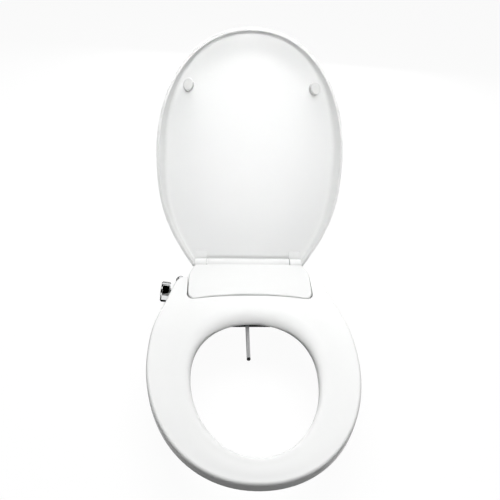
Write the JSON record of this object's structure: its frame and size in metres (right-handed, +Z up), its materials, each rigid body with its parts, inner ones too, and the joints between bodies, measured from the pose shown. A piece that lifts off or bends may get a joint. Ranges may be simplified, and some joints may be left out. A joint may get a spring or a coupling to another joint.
{
  "type": "bidet toilet seat",
  "caption": "Toilet seat and lid on a slim hinge housing, with a hand-set rinse nozzle under its back edge and a tap at its side.",
  "frame": {"origin": "on the bowl's rim, midway between the two fixing bolts, at the middle of the seat's underside mat", "axes": "+Z up from the bowl's rim, -Y to the front of the seat, +X to the right of someone facing it"},
  "size_m": [0.367, 0.6617, 0.5287],
  "materials": {
    "moulded_white": "polished, moulded",
    "tray_white": "moulded, satin",
    "soft_white": "soft, satin",
    "black_moulding": "moulded, satin",
    "black_rubber": "matt",
    "grey_nylon": "moulded, satin",
    "chromed_brass": "mirror-bright plating",
    "stainless_steel": "drawn, lightly polished",
    "plain_brass": "turned",
    "clear_tube": "soft, milky",
    "nut_white": "moulded, satin"
  },
  "bodies": {
    "base": {"base_tray": "tray_white", "hinge_cover": "moulded_white", "nozzle_shield": "black_moulding", "bowl_mat": "black_rubber", "bracket_plate": "stainless_steel", "fixing_bolt_left": "stainless_steel", "fixing_bolt_right": "stainless_steel", "cone_washer_left": "black_rubber", "cone_washer_right": "black_rubber", "cover_screw_1": "stainless_steel", "cover_screw_2": "stainless_steel", "cover_screw_3": "stainless_steel", "cover_screw_4": "stainless_steel", "latch_spring": "stainless_steel", "seat_damper_body": "grey_nylon", "seat_pivot_pin": "stainless_steel", "lid_damper_body": "grey_nylon", "lid_pivot_pin": "stainless_steel", "nozzle_feed": "tray_white", "gland_bush": "black_moulding", "gland_seal": "black_rubber", "valve_body": "chromed_brass", "valve_nut": "chromed_brass", "valve_cartridge": "plain_brass", "inlet_washer": "black_rubber", "water_hose": "clear_tube"},
    "seat": {"seat_ring": "moulded_white", "seat_bumper_1": "soft_white", "seat_bumper_2": "soft_white", "seat_bumper_3": "soft_white", "seat_bumper_4": "soft_white", "seat_damper_shaft": "stainless_steel", "seat_bush": "grey_nylon"},
    "lid": {"lid_shell": "moulded_white", "lid_bumper_left": "soft_white", "lid_bumper_right": "soft_white", "lid_damper_shaft": "stainless_steel", "lid_bush": "grey_nylon"},
    "knob": {"control_knob": "chromed_brass", "knob_cap": "chromed_brass", "knob_screw": "stainless_steel", "valve_spindle": "plain_brass"},
    "nozzle_carriage": {"nozzle_piston": "tray_white", "piston_seal": "black_rubber"},
    "nozzle": {"nozzle_tube": "stainless_steel", "nozzle_tip": "black_moulding"},
    "latch": {"release_button": "tray_white"},
    "left_nut": {"wing_nut_left": "nut_white"},
    "right_nut": {"wing_nut_right": "nut_white"}
  },
  "joints": [
    {"name": "lid_hinge", "type": "hinge", "parent": "base", "child": "lid", "pos_m": [0, 0.022, 0.039], "axis": [-1, 0, 0], "range_deg": [-115, 0]},
    {"name": "seat_hinge", "type": "hinge", "parent": "base", "child": "seat", "pos_m": [0, -0.02, 0.024], "axis": [-1, 0, 0], "range_deg": [0, 100]},
    {"name": "knob_turn", "type": "hinge", "parent": "base", "child": "knob", "pos_m": [-0.136, -0.0175, -0.005], "axis": [-0.9903, 0, 0.1392], "range_deg": [0, 90]},
    {"name": "nozzle_slide", "type": "slide", "parent": "base", "child": "nozzle_carriage", "axis": [0, -0.9877, -0.1564], "range_m": [-0.066, 0]},
    {"name": "nozzle_turn", "type": "hinge", "parent": "nozzle_carriage", "child": "nozzle", "pos_m": [-0.0065, -0.108, 0.0104], "axis": [0, -0.9877, -0.1564], "range_deg": [-30, 30]},
    {"name": "release_press", "type": "slide", "parent": "base", "child": "latch", "axis": [0, -1, 0], "range_m": [0, 0.005], "stiffness_N_per_m": 400, "springref_m": -0.003, "deforming": ["latch_spring"]},
    {"name": "left_nut_turn", "type": "hinge", "parent": "base", "child": "left_nut", "pos_m": [-0.0775, 0, -0.05], "axis": [0, 0, 1], "continuous": true},
    {"name": "right_nut_turn", "type": "hinge", "parent": "base", "child": "right_nut", "pos_m": [0.0775, 0, -0.05], "axis": [0, 0, 1], "continuous": true}
  ]
}
